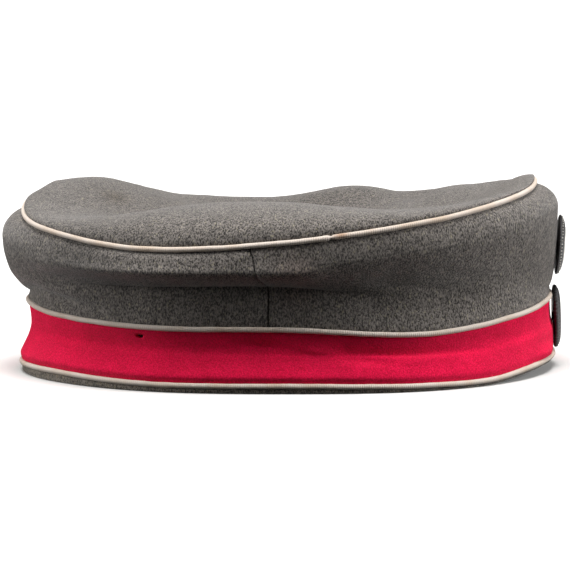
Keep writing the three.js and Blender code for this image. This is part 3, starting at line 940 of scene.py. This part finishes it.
@dataclass(frozen=True)
class CrownTop:
    """The crown's flat oval top, which has sunk in the middle and puffs up along its seam."""

    form: CapForm
    cloth: float = 1.8
    ripples: tuple[Ripple, ...] = (Ripple(0.35, 16, 5.0), Ripple(0.1, 4, 9.0))
    ripple_margin: float = 3.0  # the ripples fade out over this distance before the seam
    steps: int = 600
    rings: int = 56
    ring_bias: float = 1.7  # over 1, the rings crowd towards the seam
    edge_rows: int = 4
    edge_turn: float = 11.0  # the edge stands up over this width
    edge_share: float = 0.55

    def loops(self) -> Grid:
        """Works out the cloth.

        Returns:
            Its sections, each from the outer side's middle over the seam to the inner side's middle,
            in millimetres from the middle of the rim oval.
        """
        form = self.form
        at = whole_turn(self.steps)[:, None]
        seam = form.local(at, form.column("edge", at), 0.0)
        span = np.hypot(seam[..., 0], seam[..., 1])
        share = 1 - np.linspace(0, 1, self.rings + 1)[:-1] ** self.ring_bias
        inward = span * (1 - share)
        x, y = seam[..., 0] * share, seam[..., 1] * share
        flat = np.stack([x, y, 0 * x], axis=-1) * MM
        settled = np.clip(inward / self.ripple_margin, 0, 1)
        z = form.crown_height(at, x, y, span, share) + settled * unevenness(self.ripples, flat)
        upright = np.clip(1 - inward / self.edge_turn, 0, 1)
        pull = 1 - self.cloth * upright / (span * share)
        outer = np.stack([x, y, z], axis=-1)
        inner = np.stack([x * pull, y * pull, z - self.cloth * (1 - self.edge_share * upright)], axis=-1)
        drawn_in, away = form.cloth_edge(self.edge_rows)
        edge_out, edge_z = form.column("edge", at) - drawn_in, form.column("edge_z", at) + away
        edge = form.local(at, edge_out, edge_z)
        hem = form.local(at, edge_out[:, :1] - self.cloth, edge_z[:, :1])
        return np.concatenate([outer[:, ::-1], edge[:, ::-1], hem, inner], axis=1)

    def build(self, material: Material) -> None:
        """Builds and dresses the top."""
        form, loops = self.form, self.loops()
        middle_z = form.crown_height(0.0, 0.0, 0.0, form.half_length, 0.0)
        tips = [(0, 0, middle_z), (0, 0, middle_z - self.cloth)]
        points = np.concatenate([loops.reshape(-1, 3), tips]) * MM + form.shift()
        size, outer_tip = loops.shape[1], len(points) - 2
        faces = quads(self.steps, size, ring=False)
        for low in range(0, outer_tip, size):
            high = (low + size) % outer_tip
            faces += [(low, high, outer_tip), (high + size - 1, low + size - 1, outer_tip + 1)]
        piece = new_object("crown_top_cloth", points, faces)
        face_outward(piece)
        dress(piece, material, "grey_wool", "crown_top")


class SeamLine(Enum):
    """The three seams that carry a piping."""

    CROWN = "crown_piping"
    BAND_UPPER = "band_piping_upper"
    BAND_LOWER = "band_piping_lower"

    def path(self, form: CapForm, at: Grid) -> tuple[Grid, Grid]:
        """Distances out and heights of the seam."""
        if self is SeamLine.CROWN:
            return form.column("edge", at), form.column("edge_z", at)
        if self is SeamLine.BAND_UPPER:
            return form.column("waist", at), form.column("band_z", at)
        return 0 * at, form.low_z(at)


@dataclass(frozen=True)
class Piping:
    """A corded piping: a round bead outside its seam and a flat flange sewn in between the cloths."""

    form: CapForm
    seam: SeamLine
    flange: float  # how far in the flange runs
    radius: float = 1.0
    proud: float = 0.1
    bead_turn: float = 145.0  # the bead runs this many degrees up and down from its outermost line
    neck: float = 0.8  # the flange meets the bead at this part of its radius
    flange_cloth: float = 0.9
    waver: Ripple = Ripple(0.12, 9, 2.0)  # of its line up and down
    fullness: Ripple = Ripple(0.05, 3, 6.0)  # of its radius
    steps: int = 1440
    turns: int = 14
    joint: float | None = None  # angle where its two ends meet

    def build(self, material: Material) -> None:
        """Builds and dresses the piping."""
        at = whole_turn(self.steps)[:, None]
        out, z = self.seam.path(self.form, at)
        centre = self.form.point(at, out, z)
        z = z + self.waver(centre)
        radius = self.radius * (1 + self.fullness(centre))
        if self.joint is not None:
            away = at - self.joint
            radius = radius * (1 - 0.4 * bell(away, 0.35) + 0.12 * bell(away - 1.1, 0.6))
        turn = np.radians(np.linspace(-self.bead_turn, self.bead_turn, self.turns))
        half, neck, end = self.flange_cloth / 2, out - self.radius * self.neck, out - self.flange
        loop_out = np.concatenate([out + self.proud + radius * np.cos(turn), neck, end, end, neck], axis=1)
        loop_z = np.concatenate([z + radius * np.sin(turn), z + half, z + half, z - half, z - half], axis=1)
        loops = self.form.point(at, loop_out, loop_z)
        piece = swept_object(f"{self.seam.value}_cord", loops)
        line = centre[:, 0]
        length = float(np.linalg.norm(np.diff(line, axis=0, append=line[:1]), axis=1).sum())
        lay_strip_uv(piece, self.steps, loops.shape[1], length, 2 * math.pi * self.radius * MM)
        dress(piece, material, "piping_wool", self.seam.value)


@dataclass(frozen=True)
class CrimsonBand:
    """The coloured band between its two pipings: drawn in above, flaring below, softly creased."""

    form: CapForm
    hole: MothHole
    cloth: float = 1.5
    ripples: tuple[Ripple, ...] = (Ripple(0.25, 12, 4.0), Ripple(0.08, 3, 7.0))
    flare: tuple[tuple[float, float], ...] = ((3.4, 0.5), (6.4, -0.9), (10.0, -2.6))  # height, out
    hollow: float = 0.9  # how far in from the waist it is drawn
    hollow_share: float = 0.62  # at this part of the way up
    waist_slack: float = 0.2  # how far in its upper end lies
    front_slack: float = 0.9  # how much flatter it lies behind the cockade
    steps: int = 720
    rows: int = 30
    edge_rows: int = 4

    def profile(self, at: Grid) -> tuple[Grid, Grid]:
        """Works out the outer side.

        Args:
            at: Angles of the sections.

        Returns:
            Distances out and heights, a row for each section.
        """
        form = self.form
        low_z, band_z, waist = form.low_z(at), form.column("band_z", at), form.column("waist", at)
        slack = 1 - self.front_slack * np.maximum(0, np.cos(np.radians(at))) ** 2
        top_out = waist - self.waist_slack * slack
        out = through([0 * at, *(flare * slack for _, flare in self.flare), waist - self.hollow * slack,
                       top_out], self.rows)
        z = through([low_z + form.bead_space, *(low_z + height for height, _ in self.flare),
                     mix(low_z, band_z, self.hollow_share), band_z - form.bead_space], self.rows)
        drawn_in, away = form.cloth_edge(self.edge_rows)
        out = np.concatenate([0 * at[:, None] - drawn_in, out, top_out[:, None] - drawn_in[::-1]], axis=1)
        z = np.concatenate([low_z[:, None] + away, z, band_z[:, None] - away[::-1]], axis=1)
        out = out + form.folds(BAND_FOLDS + FINE_BAND_FOLDS, at[:, None], z)
        return out + unevenness(self.ripples, form.point(at[:, None], out, z)), z

    def build(self, material: Material) -> None:
        """Builds the band, cuts the moth hole and dresses it."""
        at = whole_turn(self.steps)
        piece = sheet_object("crimson_band_cloth", self.form, at[:, None], self.profile(at), self.cloth)
        self.hole.cut(piece)
        dress(piece, material, "crimson_wool", "band")


@dataclass(frozen=True)
class BaseBand:
    """The grey band under the crimson one: its folded foot is the rim, and it runs up behind."""

    form: CapForm
    band: CrimsonBand
    hole: MothHole
    cloth: float = 1.4
    hem: float = 3.4
    hem_round: float = 0.7
    hem_rows: int = 5
    gap: float = 0.3
    skipped_rows: int = 6  # it starts to follow the crimson band this many rows up

    def build(self, material: Material) -> None:
        """Builds the base band, cuts the moth hole and dresses it."""
        form, band = self.form, self.band
        at = whole_turn(band.steps)
        lift, low_z = form.front_lift(at)[:, None], form.low_z(at)[:, None]
        zero = np.zeros_like(lift)
        behind_out, behind_z = inner_side(*band.profile(at), band.cloth + self.gap)
        rows = slice(band.edge_rows + self.skipped_rows, -band.edge_rows)
        behind_out, behind_z = behind_out[:, rows], behind_z[:, rows]
        own_out, own_z = inner_side(behind_out, behind_z, self.cloth)
        lean = zero - form.bead_tuck - band.cloth - self.gap
        turn = np.linspace(0, math.pi / 2, self.hem_rows)
        hem_in = self.hem_round * (1 - np.sin(turn))
        foot_z = lift + self.hem_round * (1 - np.cos(turn))
        under, edge, over = low_z - form.bead_space, low_z - form.edge_space, low_z + form.edge_space
        outs = [zero - hem_in, zero, zero - form.bead_tuck, lean, lean, behind_out, own_out[:, ::-1],
                lean - self.cloth, lean - self.cloth, zero - self.hem, zero - self.hem + hem_in[::-1]]
        heights = [foot_z, under, edge, edge, over, behind_z, own_z[:, ::-1], over, edge, under,
                   foot_z[:, ::-1]]
        loops = form.point(at[:, None], np.concatenate(outs, axis=1), np.concatenate(heights, axis=1))
        piece = swept_object("base_band_cloth", loops)
        self.hole.cut(piece)
        dress(piece, material, "grey_wool", "base_band")


@dataclass(frozen=True)
class Cockade:
    """A round pressed cockade: a fluted dish, a ring and a boss, facing the front."""

    form: CapForm
    name: str
    z: float
    radius: float
    out: float  # of its back plane
    lean: float  # of its face downwards, in degrees
    rim: float
    shoulder: float
    ring: float
    boss: float
    shank_length: float
    flutes: int
    flute_depth: float
    beads: int
    boss_slot: str
    plate: float = 0.8
    shank: float = 1.5
    ring_outer: float = 7.4
    ring_inner: float = 4.6
    boss_radius: float = 4.2
    boss_rows: int = 7
    gap: float = 0.3
    hub: float = 0.001  # radius at the axis
    facets: int = 6  # for each flute

    def lathe(self, name: str, profile: list[tuple[float, ...]]) -> Object:
        """Turns a profile round the cockade's axis and puts it in place.

        Args:
            name: Name of the piece.
            profile: Radius and height of each point of the closed section, and where it is fluted,
                how much of the flutes' depth it takes.

        Returns:
            The piece.
        """
        turn = np.radians(whole_turn(self.flutes * self.facets))[:, None]
        flute = np.array([point[2] if len(point) > 2 else 0.0 for point in profile])
        wave = 0.5 - 0.5 * np.cos(turn * self.flutes)
        radius = np.array([point[0] for point in profile]) - self.flute_depth * wave * flute
        height = np.array([point[1] for point in profile]) + 0 * radius
        loops = np.stack([height, radius * np.cos(turn), radius * np.sin(turn)], axis=-1)
        piece = swept_object(name, loops * MM)
        self.place(piece)
        return piece

    def place(self, piece: Object) -> None:
        """Moves a piece made at the origin, facing +X, to the cockade's place on the cap."""
        place = self.form.point(0.0, self.out, self.z)
        lean = Matrix.Rotation(math.radians(self.lean), 4, "Y")
        piece.data.transform(Matrix.Translation(Vector(place)) @ lean)

    def dish(self) -> Object:
        """Builds the dish with its fluted rim and its shank."""
        lip, seat = self.radius - 0.3, self.ring_outer + self.gap
        return self.lathe(f"{self.name}_fluted_dish", [
            (self.hub, -self.shank_length), (self.shank, -self.shank_length), (self.shank, 0),
            (self.radius - 1.0, 0), (self.radius - 0.4, 0.1, 0.6), (self.radius, self.rim * 0.35, 1),
            (self.radius, self.rim * 0.65, 1), (lip, self.rim, 1), (lip - 0.5, self.rim + 0.15, 1),
            (lip - 1.1, self.shoulder - 0.25, 1), (lip - 1.7, self.shoulder, 0.8),
            (self.ring_outer + 1.2, self.shoulder + 0.3, 0.3), (seat, self.shoulder + 0.3),
            (seat, self.plate), (self.hub, self.plate),
        ])

    def ring_piece(self) -> Object:
        """Builds the raised ring."""
        seat, outer, inner, top = self.plate + self.gap, self.ring_outer, self.ring_inner, self.ring
        return self.lathe(f"{self.name}_raised_ring", [
            (inner, seat), (outer, seat), (outer, top - 0.35), (outer - 0.2, top - 0.1), (outer - 0.6, top),
            (inner + 0.5, top), (inner + 0.15, top - 0.1), (inner, top - 0.35),
        ])

    def boss_piece(self) -> Object:
        """Builds the domed boss."""
        seat, base = self.plate + self.gap, self.ring - 0.4
        turns = np.linspace(0, math.pi / 2, self.boss_rows + 1)[:-1]
        dome = [(self.boss_radius * math.cos(t), base + (self.boss - base) * math.sin(t)) for t in turns]
        return self.lathe(f"{self.name}_domed_boss", [
            (self.hub, seat), (self.boss_radius, seat), *dome, (self.hub, self.boss),
        ])

    def bead_row(self) -> Object:
        """Builds the row of small beads pressed into the dish's shoulder."""
        ball, ball_faces = small_ball(math.pi * self.radius / self.beads * 0.45)
        turn = np.radians(whole_turn(self.beads))
        reach = self.radius - 0.6
        middles = np.stack([self.rim + 0.35 + 0 * turn, reach * np.cos(turn), reach * np.sin(turn)], axis=1)
        points = (middles[:, None] + ball).reshape(-1, 3)
        faces = [tuple(first + v for v in face)
                 for first in range(0, len(points), len(ball)) for face in ball_faces]
        piece = new_object(f"{self.name}_bead_row", points * MM, faces)
        self.place(piece)
        return piece

    def build(self, black: Material, silver: Material, boss: Material) -> None:
        """Builds and dresses the cockade.

        Args:
            black: Finish of the dish.
            silver: Finish of the ring and the beads.
            boss: Finish of the boss.
        """
        dress(self.dish(), black, "black_lacquer", f"{self.name}_dish")
        dress(self.ring_piece(), silver, "silver_ring", f"{self.name}_ring")
        dress(self.boss_piece(), boss, self.boss_slot, f"{self.name}_boss")
        if self.beads:
            dress(self.bead_row(), silver, "silver_ring")


# --- Studio -------------------------------------------------------------------------------------


@dataclass(frozen=True)
class Studio:
    """A pale floor, soft lights and the camera."""

    form: CapForm
    floor_size: float = 12.0
    distance: float = 1.7
    elevation: float = 6.85
    roll: float = -0.4
    view_width: float = 0.2183  # at the target
    target: tuple[float, float, float] = (0.0, 0.0, 0.0314)
    sky_light: float = 0.02
    sky_shown: float = 0.95
    light_width: float = 36.0  # how broad each light looks, in degrees

    def floor(self) -> None:
        """Lays the floor just under the cap."""
        half = self.floor_size / 2
        corners = np.array([(-half, -half, 0), (half, -half, 0), (half, half, 0), (-half, half, 0)])
        floor = new_object("floor", corners, [(0, 1, 2, 3)])
        floor.data.materials.append(MattPaper("white_background_paper", "f6f5f3").material(self.form))
        floor.visible_diffuse = False  # the floor throws no light back up under the cap's folds

    def sky(self) -> None:
        """Sets the plain surroundings: pale to look at, and dimmer as light."""
        world = bpy.data.worlds.new("studio")
        bpy.context.scene.world = world
        world.use_nodes = True
        tree = world.node_tree
        tree.nodes.clear()
        path = add_node(tree, "ShaderNodeLightPath")
        light, shown = (
            add_node(tree, "ShaderNodeBackground", {"Strength": strength, "Color": linear("ffffff")})
            for strength in (self.sky_light, self.sky_shown)
        )
        both = add_node(tree, "ShaderNodeMixShader",
                        links={0: path.outputs["Is Camera Ray"], 1: light.outputs[0], 2: shown.outputs[0]})
        add_node(tree, "ShaderNodeOutputWorld", links={"Surface": both.outputs[0]})

    def sun(self, name: str, toward: tuple[float, float, float], strength: float) -> None:
        """Adds a broad parallel light.

        Args:
            name: Name of the light.
            toward: Direction from the cap to the light.
            strength: Light that falls square on a surface, in W/m2.
        """
        light = bpy.data.lights.new(name, "SUN")
        light.energy = strength
        light.angle = math.radians(self.light_width)
        lamp = bpy.data.objects.new(name, light)
        lamp.rotation_euler = Vector(toward).to_track_quat("Z", "Y").to_euler()
        bpy.context.scene.collection.objects.link(lamp)

    def camera(self) -> None:
        """Sets up the camera at the wearer's right side, a little above the cap."""
        data = bpy.data.cameras.new("camera")
        data.lens = data.sensor_width * self.distance / self.view_width
        camera = bpy.data.objects.new("camera", data)
        tilt = math.radians(self.elevation)
        away = Vector((0, -math.cos(tilt), math.sin(tilt))) * self.distance
        look = Matrix.Rotation(math.pi / 2 - tilt, 4, "X") @ Matrix.Rotation(math.radians(self.roll), 4, "Z")
        camera.matrix_world = Matrix.Translation(Vector(self.target) + away) @ look
        bpy.context.scene.collection.objects.link(camera)
        bpy.context.scene.camera = camera

    def build(self) -> None:
        """Sets up the floor, lights and camera."""
        self.floor()
        self.sky()
        self.sun("top_light", (0.0, -0.16, 1.0), 3.8)
        self.sun("back_left_light", (-1.0, 0.0, 0.3), 2.1)
        self.sun("front_right_light", (1.0, -0.1, 0.3), 2.6)
        self.camera()
        scene = bpy.context.scene
        scene.view_settings.view_transform = "Standard"
        scene.view_settings.look = "None"
        LOG.info("studio set up")


def main() -> None:
    """Builds the cap piece by piece, then the studio."""
    logging.basicConfig(level=logging.INFO, format="%(name)s %(message)s")
    form = CapForm()
    finishes = (GREY_WOOL, BASE_WOOL, CRIMSON_WOOL, PIPING_CORD, BLACK_TIN, SILVER_TIN, RED_TIN)
    grey, soiled, crimson, cord, black, silver, red = (finish.material(form) for finish in finishes)
    hole = MothHole(form)
    band = CrimsonBand(form, hole)
    CrownWall(form).build(grey)
    CrownTop(form).build(grey)
    band.build(crimson)
    BaseBand(form, band, hole).build(soiled)
    Piping(form, SeamLine.CROWN, flange=2.4, joint=81).build(cord)
    Piping(form, SeamLine.BAND_UPPER, flange=3.6).build(cord)
    Piping(form, SeamLine.BAND_LOWER, flange=1.6).build(cord)
    Cockade(form, "cockade_upper", z=46.4, radius=11.5, out=1.75, lean=4.5, rim=0.9, shoulder=2.1,
            ring=2.8, boss=3.2, shank_length=0.25, flutes=56, flute_depth=0.15, beads=54,
            boss_slot="red_lacquer").build(black, silver, red)
    Cockade(form, "cockade_lower", z=18.9, radius=12, out=0.3, lean=-1, rim=1.5, shoulder=2.3,
            ring=2.4, boss=2.5, shank_length=0.5, flutes=50, flute_depth=0.35, beads=0,
            boss_slot="black_lacquer").build(black, silver, black)
    Studio(form).build()


if __name__ == "__main__":
    main()
